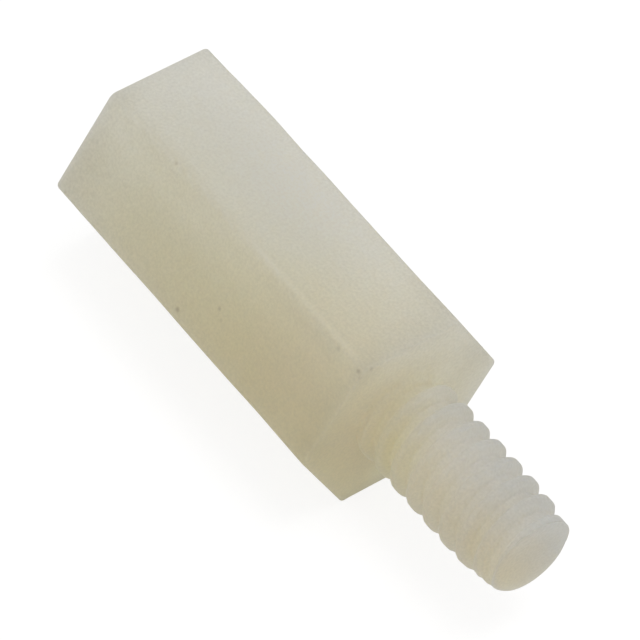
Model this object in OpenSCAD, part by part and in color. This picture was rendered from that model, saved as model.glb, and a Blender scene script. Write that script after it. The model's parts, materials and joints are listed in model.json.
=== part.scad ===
// Hex standoff, male to female, moulded in one piece: a hexagonal body with a tapped hole in
// one end and a threaded stud on the other.
//
// It lies on one flat of its hexagon, with its axis along X and the stud towards +X. Z = 0 is
// the surface it lies on, and the origin is under the middle of its whole length.
// The stud is drawn at the diameter over its thread crests, and the hole at the diameter inside
// its own thread crests, which are the walls that a plain gauge would touch.

/* [Body] */
// Length of the hexagonal body, from its open end to its shoulder
body_len = 12.7; // [6:0.1:60]
// Width of the body across its flats
across_flats = 6.22; // [5:0.01:10]
// Radius of the six long edges
long_edge_r = 0.2; // [0.05:0.05:0.6]
// Radius of the outer edges at the open end
open_edge_r = 0.12; // [0.02:0.01:0.3]
// Radius of the outer edges at the shoulder
shoulder_edge_r = 0.08; // [0.02:0.01:0.3]

/* [Stud] */
// Length of the stud, from the shoulder to its tip
stud_len = 6.35; // [3:0.05:20]
// Diameter over the stud's thread crests
stud_d = 3.26; // [2.9:0.01:4.5]
// Size of the small flare where the stud meets the shoulder
stud_flare = 0.1; // [0.02:0.01:0.4]
// Length of the plain pilot at the tip
pilot_len = 0.55; // [0.1:0.05:2]
// Diameter of the pilot
pilot_d = 2.88; // [1.5:0.01:2.88]
// Length of the tapered lead-in, from the pilot to the full thread crests
lead_len = 0.4; // [0.1:0.05:0.8]
// Break of the pilot's edge at the tip
tip_break = 0.06; // [0.02:0.01:0.1]

/* [Tapped hole] */
// Diameter inside the hole's thread crests
hole_d = 2.8; // [2:0.01:3.4]
// Depth of the hole's straight wall, measured from the open end
hole_depth = 9.5; // [2:0.1:11]
// Least length of solid between the hole's wall and the shoulder
hole_floor = 1.6; // [1.2:0.1:5]
// Diameter of the countersunk mouth
mouth_d = 3.7; // [3.5:0.05:4.3]
// Included angle of the countersunk mouth
mouth_angle = 90; // [60:5:120]
// Included angle of the hole's conical end
point_angle = 118; // [100:1:150]

/* [Colour] */
// Colour of the moulded plastic: red, green and blue
plastic = [0.80, 0.78, 0.70];

/* [Hidden] */

$fn = 96;
SIDES = 6;

whole_len = body_len + stud_len;
axis_z = across_flats / 2;

stud_r = stud_d / 2;
pilot_r = pilot_d / 2;

hole_r = hole_d / 2;
hole_wall_end = min(hole_depth, body_len - hole_floor);
point_len = hole_r / tan(point_angle / 2);
mouth_r = mouth_d / 2;
mouth_depth = (mouth_r - hole_r) / tan(mouth_angle / 2);

// how far a cutting or trimming solid runs past the face that it trims
past = 1;
// how far the stud's flare runs on into the body
sink = 0.2;

// Corners of the hexagon, with two flats level
hex_corners = [for (i = [0 : SIDES - 1]) let (a = 360 / SIDES * i)
    across_flats / 2 / cos(180 / SIDES) * [cos(a), sin(a)]];

// Corners of the body's side view, from the open end to the shoulder
side_corners = [
    [0, -across_flats / 2],
    [body_len, -across_flats / 2],
    [body_len, across_flats / 2],
    [0, across_flats / 2],
];
side_radii = [open_edge_r, shoulder_edge_r, shoulder_edge_r, open_edge_r];

function unit(v) = v / norm(v);

// Half of the inside angle at corner p, between its neighbours a and b
function half_angle(p, a, b) = acos(unit(a - p) * unit(b - p)) / 2;

// Where an arc of radius r round corner p meets the side towards a, with b the other neighbour
function arc_end(p, a, b, r) = p + unit(a - p) * r / tan(half_angle(p, a, b));

// Centre of that arc
function arc_centre(p, a, b, r) =
    p + unit(unit(a - p) + unit(b - p)) * r / sin(half_angle(p, a, b));

// A convex outline whose corners are rounded, each with its own radius
module rounded_outline(corners, radii) {
    n = len(corners);
    function before(i) = corners[(i + n - 1) % n];
    function after(i) = corners[(i + 1) % n];
    polygon([for (i = [0 : n - 1]) each [
        arc_end(corners[i], before(i), after(i), radii[i]),
        arc_end(corners[i], after(i), before(i), radii[i]),
    ]]);
    for (i = [0 : n - 1])
        translate(arc_centre(corners[i], before(i), after(i), radii[i]))
            circle(r = radii[i], $fn = 48);
}

// The hexagonal prism with its six long edges rounded, from x = 0 to the shoulder
module hex_prism() {
    rotate([90, 0, 90])
        linear_extrude(body_len)
            rounded_outline(hex_corners, [for (c = hex_corners) long_edge_r]);
}

// A slab as wide as one pair of flats, with the edges rounded at both of the body's ends
module flat_pair(turn) {
    reach = across_flats + 2 * past;
    rotate([turn, 0, 0])
        translate([0, reach / 2, 0])
            rotate([90, 0, 0])
                linear_extrude(reach)
                    rounded_outline(side_corners, side_radii);
}

module body() {
    color(plastic)
        intersection() {
            hex_prism();
            flat_pair(0);
            flat_pair(120);
            flat_pair(240);
        }
}

// The stud as one revolved section: flare at the shoulder, wall over the thread crests, tapered
// lead-in and plain pilot
module stud() {
    lead_start = stud_len - pilot_len - lead_len;
    color(plastic)
        translate([body_len, 0, 0])
            rotate([0, 90, 0])
                rotate_extrude()
                    polygon([
                        [0, -sink],
                        [stud_r + stud_flare + sink, -sink],
                        [stud_r, stud_flare],
                        [stud_r, lead_start],
                        [pilot_r, stud_len - pilot_len],
                        [pilot_r, stud_len - tip_break],
                        [pilot_r - tip_break, stud_len],
                        [0, stud_len],
                    ]);
}

// The space of the tapped hole: countersunk mouth, straight wall and conical end
module hole() {
    color(plastic)
        rotate([0, 90, 0])
            rotate_extrude()
                polygon([
                    [0, -past],
                    [mouth_r + past * tan(mouth_angle / 2), -past],
                    [hole_r, mouth_depth],
                    [hole_r, hole_wall_end],
                    [0, hole_wall_end + point_len],
                ]);
}

module standoff() {
    translate([-whole_len / 2, 0, axis_z])
        difference() {
            union() {
                body();
                stud();
            }
            hole();
        }
}

standoff();
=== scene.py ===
"""Models a moulded nylon hex standoff around its packed solid, and a small studio for it."""

import json
from math import cos, pi, radians, sin, tan

import bmesh
import bpy
from bpy.props import FloatProperty, FloatVectorProperty, PointerProperty
from bpy.types import Operator, Panel, PropertyGroup
from mathutils import Matrix, Vector


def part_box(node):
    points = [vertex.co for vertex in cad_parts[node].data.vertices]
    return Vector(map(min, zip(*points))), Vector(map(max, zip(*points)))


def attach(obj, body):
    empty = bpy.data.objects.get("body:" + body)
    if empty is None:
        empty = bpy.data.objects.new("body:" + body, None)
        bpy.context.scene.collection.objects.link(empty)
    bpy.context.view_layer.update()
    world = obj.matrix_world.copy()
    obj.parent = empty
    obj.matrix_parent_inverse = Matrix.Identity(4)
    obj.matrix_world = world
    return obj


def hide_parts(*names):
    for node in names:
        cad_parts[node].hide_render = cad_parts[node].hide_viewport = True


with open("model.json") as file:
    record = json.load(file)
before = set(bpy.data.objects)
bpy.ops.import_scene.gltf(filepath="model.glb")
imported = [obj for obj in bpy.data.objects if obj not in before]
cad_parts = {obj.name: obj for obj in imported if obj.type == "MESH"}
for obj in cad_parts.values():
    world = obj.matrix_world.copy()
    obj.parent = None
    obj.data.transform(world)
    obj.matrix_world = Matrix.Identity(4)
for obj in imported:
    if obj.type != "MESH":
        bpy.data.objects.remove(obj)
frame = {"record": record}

bl_info = {
    "name": "Hex Standoff",
    "version": (1, 0, 0),
    "blender": (4, 5, 0),
    "location": "3D View > Sidebar > Standoff",
    "description": "Models a moulded nylon hex standoff and a small studio to show it in",
    "category": "Add Mesh",
}

MM = 0.001
NODE = "standoff"
SLOT = "natural_nylon"
SIDES = 6

LOW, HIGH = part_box(NODE)
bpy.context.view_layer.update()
AXIS_Z = (LOW.z + HIGH.z) / 2

MOUNTS = {mount["name"]: mount for mount in frame["record"]["mounts"]}
SHOULDER_X = MOUNTS["shoulder_face"]["pos_m"][0]
STUD_R = MOUNTS["stud"]["dims"]["r_mm"] * MM
HOLE = MOUNTS["tapped_hole"]
HOLE_R = HOLE["dims"]["r_mm"] * MM
HOLE_END = HOLE["pos_m"][0] + HOLE["dims"]["length_mm"] * MM / 2


def length(name, description, default):
    """A length that the panel shows in the scene's units."""
    return FloatProperty(
        name=name, description=description, default=default, min=0, precision=5, unit="LENGTH"
    )


def share(name, description, default):
    """A plain number from 0 to 1."""
    return FloatProperty(name=name, description=description, default=default, min=0, max=1)


def view_angle(name, description, degrees):
    """An angle that the panel shows in degrees."""
    return FloatProperty(
        name=name, description=description, default=radians(degrees), subtype="ANGLE"
    )


def colour(name, description, default):
    """A linear colour with a swatch."""
    return FloatVectorProperty(
        name=name, description=description, default=default, min=0, max=1, subtype="COLOR"
    )


class BodySizes(PropertyGroup):
    """Sizes of the hexagonal body and its edges."""

    across_flats: length("Across flats", "Width of the hexagon across its flats", HIGH.z - LOW.z)
    long_edge: length("Long edges", "Radius of the six long edges", 0.2 * MM)
    open_edge: length("Open end's edges", "Radius of the edges at the open end", 0.09 * MM)
    shoulder_edge: length("Shoulder's edges", "Radius of the edges at the shoulder", 0.1 * MM)
    wander: share("Wander", "How much of the mould's unevenness the long edges show", 1)


class ThreadSizes(PropertyGroup):
    """Sizes of the stud's thread and the tapped hole's thread."""

    pitch: length("Pitch", "Distance from one thread crest to the next", 25.4 / 32 * MM)
    depth: length("Depth", "Depth of the stud's thread from crest to root", 0.334 * MM)
    crest: share("Crest", "Half of the crest's width, in pitches", 0.105)
    crest_r: length("Crest radius", "Radius of the thread over its crests", STUD_R - 0.008 * MM)
    root: share("Root", "Half of the root's width, in pitches", 0.154)
    start: share("Start", "How far round the first crest leaves the shoulder, in turns", 0.674)
    flare: length("Flare", "Fillet where the stud meets the shoulder", 0.1 * MM)
    worn_crest: length("Last turn", "How much lower the crest is on the last turns", 0.051 * MM)
    pilot_r: length("Pilot", "Radius of the plain pilot at the tip", 1.44 * MM)
    pilot_length: length("Pilot length", "Length of the plain pilot", 0.678 * MM)
    lead_length: length("Lead-in", "Length of the taper from the crests to the pilot", 0.167 * MM)
    tip_edge: length("Tip edge", "Radius of the pilot's edge", 0.02 * MM)
    hole_depth: length("Hole's thread depth", "Depth of the thread inside the hole", 0.33 * MM)
    mouth_r: length("Mouth", "Radius of the countersunk mouth", 1.85 * MM)


class Finish(PropertyGroup):
    """Colours of the natural nylon, with light and shade painted into some of them."""

    ivory: colour("Ivory", "The plastic of the hollow end", (0.776, 0.748, 0.572))
    amber: colour("Amber", "The solid plastic behind the shoulder", (0.513, 0.439, 0.195))
    # Pale paints light on the body's side towards the lamp; it also tints the rim of the open end.
    pale: colour("Pale", "The body's thin side and the rim of its open end", (0.965, 0.995, 0.975))
    # Stud and Pale stud: painted shade and light, on the sides away from and towards the lamp.
    stud: colour("Stud", "The stud's thick side", (0.795, 0.682, 0.468))
    stud_pale: colour("Pale stud", "The stud's thin side", (0.56, 0.637, 0.745))
    # Painted light in the thread's roots, where shade falls.
    root_light: colour("Thread's roots", "The plastic between the stud's crests", (0.66, 0.69, 0.76))
    stud_foot: colour("Stud's foot", "The stud next to the shoulder", (0.745, 0.665, 0.345))
    tinge: colour("Tinge", "Faint warm patches within the plastic", (0.95, 0.6, 0.45))
    dust: colour("Dust", "Colour of the specks caught in the surface", (0.16, 0.11, 0.07))
    through: colour(
        "Light let through", "Tint of the light that passes through", (0.86, 0.85, 0.775)
    )
    milkiness: length("Milkiness", "How far light travels inside the plastic", 6 * MM)
    let_through: share("Light let through", "Share of the light that passes through", 0.6)
    roughness: share("Roughness", "Roughness of the satin surface", 0.5)
    grain: length("Grain", "Depth of the fine grain that the mould leaves", 0.0035 * MM)


class Studio(PropertyGroup):
    """The camera and the light."""

    azimuth: view_angle(
        "Azimuth", "Angle of the view round the standoff, from -Y towards +X", 47.573
    )
    elevation: view_angle("Elevation", "Angle of the view above the floor", 50.531)
    roll: view_angle("Roll", "Turn of the view about its own axis", 7.824)
    distance: length("Distance", "Distance from the camera to the standoff", 170.72 * MM)
    lens: FloatProperty(
        name="Lens", description="Focal length in millimetres", default=322.3, min=1, unit="CAMERA"
    )
    ambient: share("Ambient", "Level of the even light from all round", 0.66)
    key: share("Key", "Level of the light from the lamp", 0.3)
    aim_left: length("Aim left", "How far left of the standoff's middle the aim is", 0.5046 * MM)
    aim_up: length("Aim up", "How far above the standoff's middle the aim is", 0.6728 * MM)


# ---------------------------------------------------------------- form

# Every ring of the surface has the same columns. The body's corners and flats set them.
COLUMNS_PER_CORNER = 8
COLUMNS_PER_FLAT = 16
COLUMNS = SIDES * (COLUMNS_PER_CORNER + COLUMNS_PER_FLAT)

BODY_RINGS = 64
BODY_EDGE_RINGS = 6
STUD_EDGE_RINGS = 5
CONE_RINGS = 6
STUD_RINGS_PER_PITCH = 22
HOLE_RINGS_PER_PITCH = 14

# Rings on the faces at right angles to the axis, as shares of the way across each face. The
# tip's are shares of its radius.
OPEN_FACE_RINGS = (0.08, 0.3, 0.6, 0.85, 0.96)
SHOULDER_FACE_RINGS = (0.04, 0.15, 0.4, 0.7, 0.92)
TIP_FACE_RINGS = (0.95, 0.7, 0.4, 0.15)

# The body's first and last plain rings lie this close to the ones at its edges, so that the
# shading of the edges doesn't spread over the flats.
EDGE_SUPPORT = 0.04 * MM

# Shares of the sizes set. The long edges go from the +Y corner round over the top to -Y and back
# under the body, and each side follows its edge.
LONG_EDGE_SHARES = (1, 1, 1.5, 1, 1, 1)
OPEN_EDGE_SHARES = (1, 0.55, 0.5, 1, 1.2, 1.2)
SHOULDER_EDGE_SHARES = (1, 0.8, 0.8, 1, 1.75, 1)

# How far each long edge lies off true along Y, in millimetres, and where it wanders: place along
# X, reach and shift.
OFF_TRUE = (0, 0, 0.1, 0, 0, 0)
WANDER = (
    ((-4.0, 2.4, -0.01), (1.2, 2.3, -0.012)),
    ((-9.1, 1.4, -0.05), (-6.2, 1.9, 0.034), (-3.6, 1.6, 0.017), (0.6, 2.6, -0.017)),
    ((-9.6, 2.5, -0.06), (-5.0, 3.0, 0.008), (0.5, 2.0, -0.008)),
    ((-4.5, 2.0, 0.012), (0.8, 2.0, 0.02)),
    ((-7.0, 2.0, 0.01), (-1.0, 3.0, -0.01)),
    ((-5.5, 2.5, -0.012), (1.0, 2.0, 0.01)),
)

# The stud's crests get lower from this far before its tip, over this length.
WORN_START = 1.744 * MM
WORN_REACH = 0.6 * MM

# How far the corners are rounded where the lead-in meets the pilot and where the thread ends.
PILOT_BLEND = 0.03 * MM
LEAD_BLEND = 0.04 * MM

# The tapped hole: half widths of its crests and roots, in pitches, how far before the end of its
# wall the thread ends, the length it runs out over, the rounding where the countersink cuts it,
# and the angle of the hole's conical end.
HOLE_CREST = 0.15
HOLE_ROOT = 0.06
RUN_OUT_END = 0.3 * MM
RUN_OUT_REACH = 0.8 * MM
MOUTH_BLEND = 0.05 * MM
CONE_ANGLE = radians(118)


def smooth_step(t):
    """Eases from 0 to 1 as t goes from 0 to 1."""
    t = min(max(t, 0), 1)
    return t * t * (3 - 2 * t)


def soft_min(a, b, blend):
    """The lesser of a and b, with the corner between them rounded over the blend."""
    overlap = max(blend - abs(a - b), 0) / blend
    return min(a, b) - overlap * overlap * blend / 4


def soft_max(a, b, blend):
    """The greater of a and b, with the corner between them rounded over the blend."""
    return -soft_min(-a, -b, blend)


def steps(start, end, count):
    """Places from start to end in equal steps, both ends included."""
    return [start + (end - start) * i / count for i in range(count + 1)]


def spots():
    """Each column's corner, its turn round that corner and its place on the flat after it."""
    found = []
    for corner in range(SIDES):
        found += [(corner, i / (COLUMNS_PER_CORNER - 1), 0) for i in range(COLUMNS_PER_CORNER)]
        for i in range(COLUMNS_PER_FLAT):
            spread = sin(pi / 2 * (2 * (i + 1) / (COLUMNS_PER_FLAT + 1) - 1))
            found.append((corner, 1, (1 + spread) / 2))
    shift = COLUMNS_PER_CORNER // 2
    return found[shift:] + found[:shift]


SPOTS = spots()


def from_edges(values):
    """A value for each column that runs evenly from one long edge's value to the next's."""
    return [
        values[corner] * (1 - place) + values[(corner + 1) % SIDES] * place
        for corner, turn, place in SPOTS
    ]


def from_sides(values):
    """A value for each column: its side's own, and at a long edge a mix of both sides'."""
    return [
        values[corner - 1] * (1 - turn) + values[corner] * turn
        for corner, turn, place in SPOTS
    ]


def pointing(angle):
    """A unit vector in the plane across the axis, at an angle from +Y."""
    return Vector((cos(angle), sin(angle)))


def hexagon(half_width, radii):
    """Points round a hexagon with rounded corners and two level flats, from its +Y corner on."""
    step = 2 * pi / SIDES
    points = []
    for corner, turn, place in SPOTS:
        if place == 0:
            centre = pointing(corner * step) * (half_width - radii[corner]) / cos(step / 2)
            around = pointing((corner + turn - 0.5) * step)
            points.append(centre + around * radii[corner])
        else:
            start = (half_width - radii[corner]) * tan(step / 2)
            end = (half_width - radii[(corner + 1) % SIDES]) * tan(step / 2)
            across = (corner + 0.5) * step
            along = pointing(across + pi / 2) * ((start + end) * place - start)
            points.append(pointing(across) * half_width + along)
    return points


ANGLES = [2 * pi * i / COLUMNS + pi / SIDES / COLUMNS_PER_CORNER for i in range(COLUMNS)]


def circle(radius_at):
    """Points round a circle whose radius may change with the angle."""
    return [pointing(a) * radius_at(a) for a in ANGLES]


def blend_outlines(a, b, t):
    """An outline part of the way from a to b."""
    return [p.lerp(q, t) for p, q in zip(a, b)]


def wander(x, amount):
    """How far along Y the body's surface is shifted at x, for each column."""
    shifts = []
    for off_true, bumps in zip(OFF_TRUE, WANDER):
        heights = [smooth_step(1 - abs(x / MM - centre) / reach) * h for centre, reach, h in bumps]
        shifts.append((off_true + sum(heights)) * MM * amount)
    return from_edges(shifts)


class Skin:
    """A closed surface built up ring by ring along the standoff's axis."""

    def __init__(self):
        self.mesh = bmesh.new()
        self.last = None

    def point(self, x):
        """A single vertex on the axis, which starts or ends the surface."""
        vertex = self.mesh.verts.new((x, 0, AXIS_Z))
        if self.last is not None:
            for i in range(COLUMNS):
                self.mesh.faces.new((self.last[i], vertex, self.last[i - 1]))
        self.last = [vertex] * COLUMNS

    def ring(self, x, outline):
        """A ring of vertices at x, or at x[i] for each point, joined to the one before it."""
        xs = x if isinstance(x, list) else [x] * COLUMNS
        ring = [self.mesh.verts.new((xs[i], p.x, AXIS_Z + p.y)) for i, p in enumerate(outline)]
        for i in range(COLUMNS):
            face = [self.last[i - 1], self.last[i], ring[i], ring[i - 1]]
            if face[0] == face[1]:
                face.pop(0)
            self.mesh.faces.new(face)
        self.last = ring

    def finish(self, name):
        """The finished object."""
        bmesh.ops.recalc_face_normals(self.mesh, faces=self.mesh.faces)
        data = bpy.data.meshes.new(name)
        self.mesh.to_mesh(data)
        self.mesh.free()
        data.shade_smooth()
        piece = bpy.data.objects.new(name, data)
        bpy.context.scene.collection.objects.link(piece)
        return piece


def thread_fill(turns, crest, root):
    """How high a thread stands, from 0 at a root to 1 at a crest, at a place in turns."""
    from_root = abs(turns % 1 - 0.5)
    return smooth_step((from_root - root) / (0.5 - crest - root))


def stud_radius(x, angle, sizes):
    """Radius of the stud's surface at a distance x from the shoulder."""
    stud_length = HIGH.x - SHOULDER_X
    turns = x / sizes.pitch - angle / (2 * pi) - sizes.start
    thread = sizes.crest_r - sizes.depth * (1 - thread_fill(turns, sizes.crest, sizes.root))
    worn = smooth_step((x - (stud_length - WORN_START)) / WORN_REACH)
    thread = min(thread, sizes.crest_r - sizes.worn_crest * worn)
    pilot_start = stud_length - sizes.pilot_length
    into_lead = (x - (pilot_start - sizes.lead_length)) / sizes.lead_length
    last_r = sizes.crest_r - sizes.worn_crest
    lead = last_r + (sizes.pilot_r - last_r) * into_lead
    limit = soft_max(lead, sizes.pilot_r, PILOT_BLEND)
    return soft_min(thread, limit, LEAD_BLEND)


def hole_radius(depth, angle, sizes):
    """Radius of the tapped hole's surface at a depth from the open end."""
    turns = (LOW.x + depth) / sizes.pitch - angle / (2 * pi)
    groove = 1 - thread_fill(turns, HOLE_CREST, HOLE_ROOT)
    run_out = smooth_step((HOLE_END - LOW.x - depth - RUN_OUT_END) / RUN_OUT_REACH)
    thread = HOLE_R + sizes.hole_depth * groove * run_out
    return soft_max(thread, sizes.mouth_r - depth, MOUTH_BLEND)


def add_hole(skin, sizes):
    """The tapped hole, from its conical end out to its mouth."""
    cone = HOLE_R / tan(CONE_ANGLE / 2)
    skin.point(HOLE_END + cone)
    for t in steps(0, 1, CONE_RINGS)[1:-1]:
        skin.ring(HOLE_END + cone * (1 - t), circle(lambda a: HOLE_R * t))
    depth = HOLE_END - LOW.x
    count = round(depth / sizes.pitch * HOLE_RINGS_PER_PITCH)
    for d in steps(depth, 0, count):
        skin.ring(LOW.x + d, circle(lambda a: hole_radius(d, a, sizes)))


def add_body(skin, body, thread):
    """The hexagonal body, from the mouth of its hole to the foot of its stud."""
    # Two outlines this far apart give every other inset, by going on from one to the other.
    unit = 0.1 * MM
    half = body.across_flats / 2
    radii = [body.long_edge * factor for factor in LONG_EDGE_SHARES]
    outer = hexagon(half, radii)
    inner = hexagon(half - unit, [r - unit for r in radii])

    def outline(x, insets):
        """The body's outline at x, set in by an amount for each column."""
        return [
            p.lerp(q, inset / unit) + Vector((shift, 0))
            for p, q, inset, shift in zip(outer, inner, insets, wander(x, body.wander))
        ]

    def edge_rings(edges, x, inward, order):
        """The rounded edges of the end at x. Inward is the way into the body, 1 or -1."""
        for t in order:
            insets = [edge * (1 - cos(pi / 2 * t)) for edge in edges]
            places = [x + inward * edge * (1 - sin(pi / 2 * t)) for edge in edges]
            skin.ring(places, outline(x, insets))

    open_edges = [body.open_edge * factor for factor in from_sides(OPEN_EDGE_SHARES)]
    shoulder_edges = [body.shoulder_edge * factor for factor in from_sides(SHOULDER_EDGE_SHARES)]

    mouth = circle(lambda a: hole_radius(0, a, thread))
    rim = outline(LOW.x, open_edges)
    for t in OPEN_FACE_RINGS:
        skin.ring(LOW.x, blend_outlines(mouth, rim, t))
    edge_rings(open_edges, LOW.x, 1, steps(1, 0, BODY_EDGE_RINGS))

    start = LOW.x + max(open_edges)
    end = SHOULDER_X - max(shoulder_edges)
    between = steps(start, end, BODY_RINGS)[1:-1]
    for x in [start + EDGE_SUPPORT] + between + [end - EDGE_SUPPORT]:
        skin.ring(x, outline(x, [0] * COLUMNS))

    edge_rings(shoulder_edges, SHOULDER_X, -1, steps(0, 1, BODY_EDGE_RINGS))
    rim = outline(SHOULDER_X, shoulder_edges)
    foot = circle(lambda a: stud_radius(0, a, thread) + thread.flare)
    for t in SHOULDER_FACE_RINGS:
        skin.ring(SHOULDER_X, blend_outlines(rim, foot, t))


def add_stud(skin, sizes):
    """The threaded stud, from its fillet at the shoulder to its tip."""
    for t in steps(0, 1, STUD_EDGE_RINGS):
        x = sizes.flare * (1 - cos(pi / 2 * t))
        spread = sizes.flare * (1 - sin(pi / 2 * t))
        skin.ring(SHOULDER_X + x, circle(lambda a: stud_radius(x, a, sizes) + spread))
    start = sizes.flare
    end = HIGH.x - SHOULDER_X - sizes.tip_edge
    count = round((end - start) / sizes.pitch * STUD_RINGS_PER_PITCH)
    for x in steps(start, end, count)[1:]:
        skin.ring(SHOULDER_X + x, circle(lambda a: stud_radius(x, a, sizes)))
    for t in steps(0, 1, STUD_EDGE_RINGS)[1:]:
        x = end + sizes.tip_edge * sin(pi / 2 * t)
        inset = sizes.tip_edge * (1 - cos(pi / 2 * t))
        skin.ring(SHOULDER_X + x, circle(lambda a: stud_radius(end, a, sizes) - inset))
    for t in TIP_FACE_RINGS:
        skin.ring(HIGH.x, circle(lambda a: (stud_radius(end, a, sizes) - sizes.tip_edge) * t))
    skin.point(HIGH.x)


# ---------------------------------------------------------------- nodes


class Value:
    """A node's output. Arithmetic on it adds the Math nodes that work it out."""

    def __init__(self, nodes, socket):
        self.nodes = nodes
        self.socket = socket

    def math(self, operation, *operands):
        """A Math node on the operands, which are values or plain numbers."""
        return self.nodes.add("ShaderNodeMath", {"operation": operation}, dict(enumerate(operands)))

    def __add__(self, other):
        return self.math("ADD", self, other)

    def __radd__(self, other):
        return self.math("ADD", other, self)

    def __sub__(self, other):
        return self.math("SUBTRACT", self, other)

    def __rsub__(self, other):
        return self.math("SUBTRACT", other, self)

    def __mul__(self, other):
        return self.math("MULTIPLY", self, other)

    def __rmul__(self, other):
        return self.math("MULTIPLY", other, self)

    def __abs__(self):
        return self.math("ABSOLUTE", self)

    def at_least(self, other):
        """This value, or the other where that is greater."""
        return self.math("MAXIMUM", self, other)


class Nodes:
    """The nodes of a material or of the world. Every node comes from add()."""

    def __init__(self, owner):
        owner.use_nodes = True
        self.tree = owner.node_tree
        self.tree.nodes.clear()

    def add(self, kind, settings, values, output=0):
        """A node of that kind: its settings first, then the values or links of its sockets."""
        node = self.tree.nodes.new(kind)
        for name, setting in settings.items():
            setattr(node, name, setting)
        for socket, value in values.items():
            if isinstance(value, Value):
                self.tree.links.new(value.socket, node.inputs[socket])
            else:
                node.inputs[socket].default_value = value
        return Value(self, node.outputs[output]) if node.outputs else None


def opaque(rgb):
    """A colour with its alpha, as a colour socket takes it."""
    return (*rgb, 1)


def grey(level):
    """A neutral colour, as a colour socket takes it."""
    return (level, level, level, 1)


def vector(nodes, operation, first, second, output=0):
    """Vector Math on two vectors, or on a vector and a number to scale it by."""
    other = "Scale" if operation == "SCALE" else 1
    settings = {"operation": operation}
    return nodes.add("ShaderNodeVectorMath", settings, {0: first, other: second}, output)


def blend_colours(nodes, share_of_second, first, second):
    """A colour that goes from the first to the second as the share goes from 0 to 1."""
    settings = {"data_type": "RGBA"}
    return nodes.add("ShaderNodeMix", settings, {0: share_of_second, 6: first, 7: second}, output=2)


def fade(nodes, value, start, end):
    """Goes smoothly from 0 to 1 as the value goes from start to end, up or down."""
    settings = {"interpolation_type": "SMOOTHSTEP"}
    return nodes.add("ShaderNodeMapRange", settings, {"Value": value, 1: start, 2: end})


def nearness(nodes, place, centre, reach):
    """1 at the centre, fading to 0 at the reach."""
    return fade(nodes, vector(nodes, "DISTANCE", place, centre, output="Value"), reach, 0)


def cloud(nodes, place, size, detail):
    """Soft noise from 0 to 1 with features of about the size given."""
    values = {"Vector": place, "Scale": 1 / size, "Detail": detail}
    return nodes.add("ShaderNodeTexNoise", {}, values, output="Fac")


def sum_of_rays(nodes, *names):
    """1 for the kinds of ray that are named, and 0 for every other."""
    rays = [nodes.add("ShaderNodeLightPath", {}, {}, output=name) for name in names]
    total = rays[0]
    for ray in rays[1:]:
        total = total + ray
    return total


# ---------------------------------------------------------------- finish

# Places and sizes in the finish are in millimetres, in the standoff's own frame. A pair is where
# a change begins and where it is complete, along X unless its name says otherwise.

# Sizes of the soft clouds, the warm patches and the grain, and how strong the warm patches are.
CLOUD_SIZE = 2.2
TINGE_SIZE = 0.4
GRAIN_SIZE = 0.09
TINGE_SHARE = 0.2

# How far the clouds move the amber's border, from one extreme to the other, and the share of
# that by which they move the other borders.
DRIFT = 3
DRIFT_SHARE = 0.5

# The body: the thick plastic behind the shoulder, the direction of the side that faces the lamp,
# where the pale tone is painted light, the change across it, and the rim of the open end.
THICK = (-9, 4)
LAMPLIT_SIDE = (0, 0.875, 0.485)
LAMPLIT_ACROSS = (-1.4, 5.2)
THICK_HIDES_LAMPLIT = 0.25
RIM = (-6, -10)
RIM_SHARE = 0.45

# The stud: where it takes over from the body, its side towards the lamp, where light and shade are
# painted, the way to its tip, the height over which a root turns into a crest, where the last roots
# are, and its foot.
STUD = (2.8, 4.8)
STUD_LAMPLIT_ACROSS = (0, 3.2)
TO_TIP = (4.8, 9.5)
CREST_HEIGHT = 0.3
LAST_ROOT = (7.6, 8.6)
ROOT_LIGHT_SHARE = 0.2
FOOT = (6, 4)
FOOT_SHARE = 0.95

# Levels that the tones are multiplied by, and how much lower they are in places. The tip's drop is
# painted shade; the crests' drops paint shade on the crests and light in the roots.
LEVEL = 0.69
GRAIN_CONTRAST = 0.62
RIM_DROP = 0.08
TIP_SHADE = 0.18
CREST_SHADE = 0.07
LAMPLIT_CREST_SHADE = 0.05

# The level falls on the flats towards both ends of the body, a painted shade: pair along X and
# drop. A point is on a flat when it lies this far out from the axis, square to the flat.
END_SHADE = (((1.9, 3.3), 0.17), ((-8.7, -9.7), 0.1))
FLAT_OUT = (2.35, 3.2)

# It falls at the tip's rim too, a painted shade: pair along X, pair out from the axis and drop.
TIP_RIM_SHADE = (((9.2, 9.5), (1.1, 1.4), 0.12), ((9.42, 9.5), (1.28, 1.42), 0.04))

# Strips of painted light and shade along the body's long edges: a painted highlight on the middle
# edge and painted shade beside the edges. Centre in the section, reach, change of level, start and
# end. Each fades in from its start and out to its end over these lengths.
STRIP_FADE_IN = 2
STRIP_FADE_OUT = 1
EDGE_LIGHT_AND_SHADE = (
    ((0, -1.57, 6.21), 0.17, 0.16, -3.4, 3.2),
    ((0, -1.68, 6.12), 0.4, -0.055, -12, -3),
    ((0, -1.82, 6.0), 0.75, -0.15, -9.6, 2.8),
    ((0, 1.8, 6.2), 0.7, -0.14, -12, 3.2),
    ((0, -3.5, 3.2), 0.9, -0.1, -12, 3.2),
)
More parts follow.
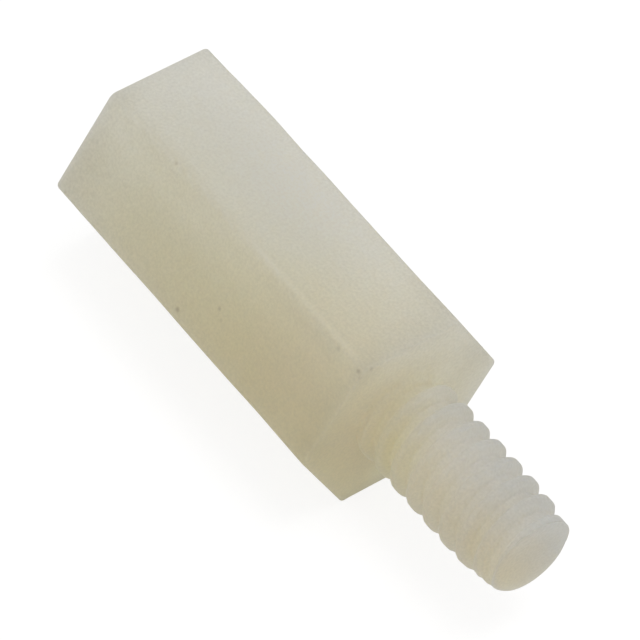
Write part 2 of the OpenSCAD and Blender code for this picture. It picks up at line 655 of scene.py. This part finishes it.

# Patches of painted light and shade, which lighten or darken the surface: centre, reach and change
# of level.
LIGHT_AND_SHADE_PATCHES = (
    ((-9.5, -3.4, 3.4), 3, -0.23),
    ((-9.6, -2.5, 4.8), 2.2, -0.19),
    ((-9.4, -1.6, 6.2), 1.2, -0.22),
    ((-9.3, 1.6, 6.2), 1.5, -0.06),
    ((-6.2, -3.3, 3.6), 2.6, -0.06),
    ((-1.8, -2.7, 4.8), 3, 0.05),
    ((2.5, -2.75, 4.6), 1, -0.03),
    ((2.2, 1.9, 6.2), 1.8, -0.12),
    ((3.2, -1.7, 0.5), 1.2, 0.2),
    ((3.2, -0.5, 0.6), 1, 0.6),
    ((3.2, -3.0, 3.3), 1.3, -0.13),
    ((3.2, 3.0, 4.0), 2, -0.24),
    ((3.8, 0.5, 4.6), 1, 0.12),
    ((4.2, -0.9, 4.4), 1.8, -0.07),
    ((6.4, -0.8, 4.5), 2.2, 0.06),
    ((3.2, 1.4, 3.9), 0.9, 0.14),
    ((3.2, -1.6, 6.0), 0.8, -0.14),
    ((9.5, 1.0, 2.1), 1, -0.14),
    ((3.2, -3.6, 2.6), 5, -0.07),
    ((3.2, 1.0, 6.2), 3.5, -0.08),
    ((-3, 0.5, 6.2), 5, 0.13),
    ((3.2, -0.5, 3.1), 3.4, 0.14),
)

# Specks of dust caught in the surface: centre, reach and how dark.
SPECKS = (
    ((-6.26, -1.68, 6.17), 0.1, 0.6),
    ((-3.42, -3.44, 3.38), 0.13, 1),
    ((-2.18, -2.89, 4.33), 0.11, 0.9),
    ((-1.92, -2.98, 4.12), 0.1, 0.4),
    ((2.0, -1.76, 6.11), 0.13, 0.5),
    ((2.99, -1.77, 6.1), 0.12, 1),
    ((3.17, -1.43, 6.15), 0.12, 0.8),
    ((3.17, -1.85, 5.98), 0.12, 0.4),
)

# The surface: how the plastic bends light, how far red, green and blue scatter in it, how much
# its roughness varies, and how much more the clouds lift it than the grain does.
REFRACTION = 1.53
SCATTER = (1, 0.9, 0.7)
ROUGHNESS_SPREAD = 0.2
CLOUD_LIFT = 3


class Place:
    """Where a point of the surface lies, in millimetres: its node values, whole and in parts."""

    def __init__(self, nodes):
        where = nodes.add("ShaderNodeTexCoord", {}, {}, output="Object")
        self.point = vector(nodes, "SCALE", where, 1 / MM)
        self.along = nodes.add("ShaderNodeSeparateXYZ", {}, {0: self.point}, output="X")
        self.across = vector(nodes, "DOT_PRODUCT", self.point, LAMPLIT_SIDE, output="Value")
        self.section = vector(nodes, "MULTIPLY", self.point, (0, 1, 1))
        self.from_axis = vector(nodes, "SUBTRACT", self.section, (0, 0, AXIS_Z / MM))
        self.radius = vector(nodes, "DISTANCE", self.from_axis, (0, 0, 0), output="Value")


def body_tone(nodes, finish, place, drift, rim):
    """Amber where the plastic is thick, ivory where it is hollow, and pale on the side towards the
    lamp, which is painted light.
    """
    thick = fade(nodes, place.along + drift, *THICK)
    tone = blend_colours(nodes, thick, opaque(finish.ivory), opaque(finish.amber))
    # Pale on the side towards the lamp is painted light.
    lamplit = fade(nodes, place.across + drift * DRIFT_SHARE, *LAMPLIT_ACROSS)
    lamplit = lamplit * (1 - thick * THICK_HIDES_LAMPLIT)
    tone = blend_colours(nodes, lamplit, tone, opaque(finish.pale))
    return blend_colours(nodes, rim * RIM_SHARE, tone, opaque(finish.pale))


def stud_tone(nodes, finish, place, lamplit, crest):
    """Warm on the side away from the lamp and cool on the side towards it, painted shade and light;
    cool in the roots, painted light; and yellow at the foot.
    """
    tone = blend_colours(nodes, lamplit, opaque(finish.stud), opaque(finish.stud_pale))
    # Painted light in the roots.
    root = (1 - crest) * (1 - fade(nodes, place.along, *LAST_ROOT))
    tone = blend_colours(nodes, root * ROOT_LIGHT_SHARE, tone, opaque(finish.root_light))
    foot = fade(nodes, place.along, *FOOT) * (1 - lamplit)
    return blend_colours(nodes, foot * FOOT_SHARE, tone, opaque(finish.stud_foot))


def add_edge_light_and_shade(nodes, place, level):
    """The level with the painted highlight and painted shade along the body's long edges."""
    for centre, reach, change, start, end in EDGE_LIGHT_AND_SHADE:
        strip = nearness(nodes, place.section, centre, reach)
        strip = strip * fade(nodes, place.along, start, start + STRIP_FADE_IN)
        strip = strip * fade(nodes, place.along, end, end - STRIP_FADE_OUT)
        # Painted highlight or painted shade along the edge.
        level = level + strip * change
    return level


def add_end_shade(nodes, place, level):
    """The level with painted shade at the edges of the body's two ends and at the tip's rim."""
    near_flat = 0
    for i in range(SIDES // 2):
        facing = pointing(pi / SIDES * (2 * i + 1))
        out = vector(
            nodes, "DOT_PRODUCT", place.from_axis, (0, facing.x, facing.y), output="Value"
        )
        near_flat = fade(nodes, abs(out), *FLAT_OUT).at_least(near_flat)
    # Painted shade at both ends and at the tip's rim.
    drop = 0
    for span, most in END_SHADE:
        drop = drop + fade(nodes, place.along, *span) * most
    level = level - near_flat * drop
    for span, out, most in TIP_RIM_SHADE:
        level = level - fade(nodes, place.along, *span) * fade(nodes, place.radius, *out) * most
    return level


def nylon(finish):
    """Natural nylon: milky, satin and slightly translucent, with specks of dust caught in it and
    light and shade painted into its colour.
    """
    material = bpy.data.materials.new(SLOT)
    nodes = Nodes(material)
    place = Place(nodes)
    clouds = cloud(nodes, place.point, CLOUD_SIZE, detail=3)
    warmth = cloud(nodes, place.point, TINGE_SIZE, detail=3)
    grain = cloud(nodes, place.point, GRAIN_SIZE, detail=2)
    drift = (clouds - 0.5) * DRIFT
    rim = fade(nodes, place.along + drift * DRIFT_SHARE, *RIM)
    on_stud = fade(nodes, place.along, *STUD)
    stud_lamplit = fade(nodes, place.across + drift * DRIFT_SHARE, *STUD_LAMPLIT_ACROSS)
    crest = fade(nodes, place.radius, STUD_R / MM - CREST_HEIGHT, STUD_R / MM)

    body = body_tone(nodes, finish, place, drift, rim)
    stud = stud_tone(nodes, finish, place, stud_lamplit, crest)
    tone = blend_colours(nodes, on_stud, body, stud)
    tone = blend_colours(nodes, warmth * TINGE_SHARE, tone, opaque(finish.tinge))

    # Painted shade on the crests, painted light in the roots, and painted shade towards the tip.
    stud_light_and_shade = on_stud * (crest - 0.5) * (CREST_SHADE + stud_lamplit * LAMPLIT_CREST_SHADE)
    stud_light_and_shade = stud_light_and_shade + fade(nodes, place.along, *TO_TIP) * TIP_SHADE
    level = LEVEL + grain * GRAIN_CONTRAST - stud_light_and_shade - rim * RIM_DROP
    level = add_edge_light_and_shade(nodes, place, level)
    level = add_end_shade(nodes, place, level)
    # Patches of painted light and shade.
    for centre, reach, change in LIGHT_AND_SHADE_PATCHES:
        level = level + nearness(nodes, place.point, centre, reach) * change

    dust = 0
    for centre, reach, strength in SPECKS:
        dust = dust + nearness(nodes, place.point, centre, reach) * strength
    plastic = vector(nodes, "SCALE", tone, level)
    plastic = blend_colours(nodes, dust, plastic, opaque(finish.dust))

    relief = nodes.add(
        "ShaderNodeBump",
        {},
        {"Strength": 1, "Distance": finish.grain, "Height": grain + clouds * CLOUD_LIFT},
    )
    surface = nodes.add(
        "ShaderNodeBsdfPrincipled",
        {},
        {
            "Base Color": plastic,
            "Roughness": finish.roughness - ROUGHNESS_SPREAD / 2 + clouds * ROUGHNESS_SPREAD,
            "IOR": REFRACTION,
            "Normal": relief,
            "Subsurface Weight": 1,
            "Subsurface Radius": SCATTER,
            "Subsurface Scale": finish.milkiness,
        },
    )
    through = nodes.add(
        "ShaderNodeBsdfTranslucent", {}, {"Color": opaque(finish.through), "Normal": relief}
    )
    both = nodes.add("ShaderNodeMixShader", {}, {0: finish.let_through, 1: surface, 2: through})
    nodes.add("ShaderNodeOutputMaterial", {}, {"Surface": both})
    return material


# ---------------------------------------------------------------- studio

# The floor reaches past every view and lies a hair's breadth below the standoff, where light
# gets in.
FLOOR_REACH = 2.0
FLOOR_GAP = 0.05 * MM

# What the floor gives back to the standoff, and how it is seen: a glow of its own, so that it
# stays white, and a share that the light and the shadows fall on.
FLOOR_BOUNCE = 0.9
FLOOR_GLOW = 0.82
FLOOR_SHADED = 0.25

# The lamp and the camera, in metres. Only the sensor's width is in millimetres.
KEY_DIRECTION = (0.05, 0.22, 0.97)
KEY_DISTANCE = 0.4
KEY_SIZE = 0.25
SENSOR_WIDTH = 36
CLIP_START = 0.01


def stage_white():
    """A white floor that shows the shadow of what lies on it, softly."""
    material = bpy.data.materials.new("stage_white")
    nodes = Nodes(material)
    seen = sum_of_rays(nodes, "Is Camera Ray", "Is Glossy Ray", "Is Transmission Ray")
    lit = nodes.add("ShaderNodeBsdfDiffuse", {}, {"Color": grey(FLOOR_BOUNCE)})
    shaded = nodes.add("ShaderNodeBsdfDiffuse", {}, {"Color": grey(FLOOR_SHADED)})
    glow = nodes.add("ShaderNodeEmission", {}, {"Color": grey(1), "Strength": FLOOR_GLOW})
    white = nodes.add("ShaderNodeAddShader", {}, {0: shaded, 1: glow})
    surface = nodes.add("ShaderNodeMixShader", {}, {0: seen, 1: lit, 2: white})
    nodes.add("ShaderNodeOutputMaterial", {}, {"Surface": surface})
    return material


def add_floor(scene):
    """A pale, level floor."""
    mesh = bpy.data.meshes.new("floor")
    around = ((-1, -1), (1, -1), (1, 1), (-1, 1))
    points = [(x * FLOOR_REACH, y * FLOOR_REACH, -FLOOR_GAP) for x, y in around]
    mesh.from_pydata(points, [], [(0, 1, 2, 3)])
    mesh.materials.append(stage_white())
    floor = bpy.data.objects.new("floor", mesh)
    scene.collection.objects.link(floor)


def add_light(scene):
    """Even white light from all round, and a soft lamp above the far side."""
    studio = scene.standoff_studio
    world = bpy.data.worlds.new("studio")
    scene.world = world
    nodes = Nodes(world)
    seen = sum_of_rays(nodes, "Is Camera Ray")
    ambient = nodes.add("ShaderNodeBackground", {}, {"Color": grey(1), "Strength": studio.ambient})
    white = nodes.add("ShaderNodeBackground", {}, {"Color": grey(1), "Strength": 1})
    surface = nodes.add("ShaderNodeMixShader", {}, {0: seen, 1: ambient, 2: white})
    nodes.add("ShaderNodeOutputWorld", {}, {"Surface": surface})

    lamp = bpy.data.lights.new("key", "AREA")
    lamp.shape = "DISK"
    lamp.size = KEY_SIZE
    # An area lamp of this power lights a level surface under it by about the share asked for.
    lamp.energy = studio.key * pi * pi * KEY_DISTANCE**2
    key = bpy.data.objects.new("key", lamp)
    scene.collection.objects.link(key)
    direction = Vector(KEY_DIRECTION).normalized()
    key.location = direction * KEY_DISTANCE
    key.rotation_euler = direction.to_track_quat("Z", "Y").to_euler()


def add_camera(scene):
    """The camera, aimed just off the standoff's middle."""
    studio = scene.standoff_studio
    azimuth, elevation, roll = studio.azimuth, studio.elevation, studio.roll
    back = Vector((sin(azimuth) * cos(elevation), -cos(azimuth) * cos(elevation), sin(elevation)))
    level = Vector((cos(azimuth), sin(azimuth), 0))
    upright = back.cross(level)
    right = level * cos(roll) + upright * sin(roll)
    up = upright * cos(roll) - level * sin(roll)
    centre = Vector(((LOW.x + HIGH.x) / 2, 0, AXIS_Z))
    aim = centre - right * studio.aim_left + up * studio.aim_up
    data = bpy.data.cameras.new("camera")
    data.lens = studio.lens
    data.sensor_width = SENSOR_WIDTH
    data.clip_start = CLIP_START
    camera = bpy.data.objects.new("camera", data)
    scene.collection.objects.link(camera)
    turn = Matrix((right, up, back)).transposed().to_4x4()
    camera.matrix_world = Matrix.Translation(aim + back * studio.distance) @ turn
    scene.camera = camera
    scene.view_settings.view_transform = "Standard"


# ---------------------------------------------------------------- operators


class STANDOFF_OT_moulding(Operator):
    """Model the moulded standoff with both of its threads"""

    bl_idname = "standoff.moulding"
    bl_label = "Moulded standoff"

    def execute(self, context):
        scene = context.scene
        skin = Skin()
        add_hole(skin, scene.standoff_thread)
        add_body(skin, scene.standoff_body, scene.standoff_thread)
        add_stud(skin, scene.standoff_thread)
        piece = skin.finish("moulded_standoff")
        piece.data.materials.append(nylon(scene.standoff_finish))
        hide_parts(NODE)
        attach(piece, "root")
        return {"FINISHED"}


class STANDOFF_OT_stage(Operator):
    """Set up the floor, the light and the camera"""

    bl_idname = "standoff.stage"
    bl_label = "Studio"

    def execute(self, context):
        scene = context.scene
        add_floor(scene)
        add_light(scene)
        add_camera(scene)
        return {"FINISHED"}


class STANDOFF_PT_panel(Panel):
    """Lists the standoff's pieces, sizes and colours"""

    bl_idname = "STANDOFF_PT_panel"
    bl_label = "Hex Standoff"
    bl_space_type = "VIEW_3D"
    bl_region_type = "UI"
    bl_category = "Standoff"

    def draw(self, context):
        layout = self.layout
        for operator in OPERATORS:
            layout.operator(operator.bl_idname)
        for name, group in GROUPS.items():
            box = layout.box()
            box.label(text=group.__doc__)
            for size in group.__annotations__:
                box.prop(getattr(context.scene, name), size)


OPERATORS = (STANDOFF_OT_moulding, STANDOFF_OT_stage)
GROUPS = {
    "standoff_body": BodySizes,
    "standoff_thread": ThreadSizes,
    "standoff_finish": Finish,
    "standoff_studio": Studio,
}


def register():
    """Register the sizes, the operators and the panel, and give each scene its own sizes."""
    for cls in (*GROUPS.values(), *OPERATORS, STANDOFF_PT_panel):
        bpy.utils.register_class(cls)
    for name, group in GROUPS.items():
        setattr(bpy.types.Scene, name, PointerProperty(type=group))


def unregister():
    """Take away what register() set up."""
    for name in GROUPS:
        delattr(bpy.types.Scene, name)
    for cls in (STANDOFF_PT_panel, *OPERATORS, *GROUPS.values()):
        bpy.utils.unregister_class(cls)


def main():
    """Model the standoff and its studio."""
    register()
    bpy.ops.standoff.moulding()
    bpy.ops.standoff.stage()


if __name__ == "__main__":
    main()
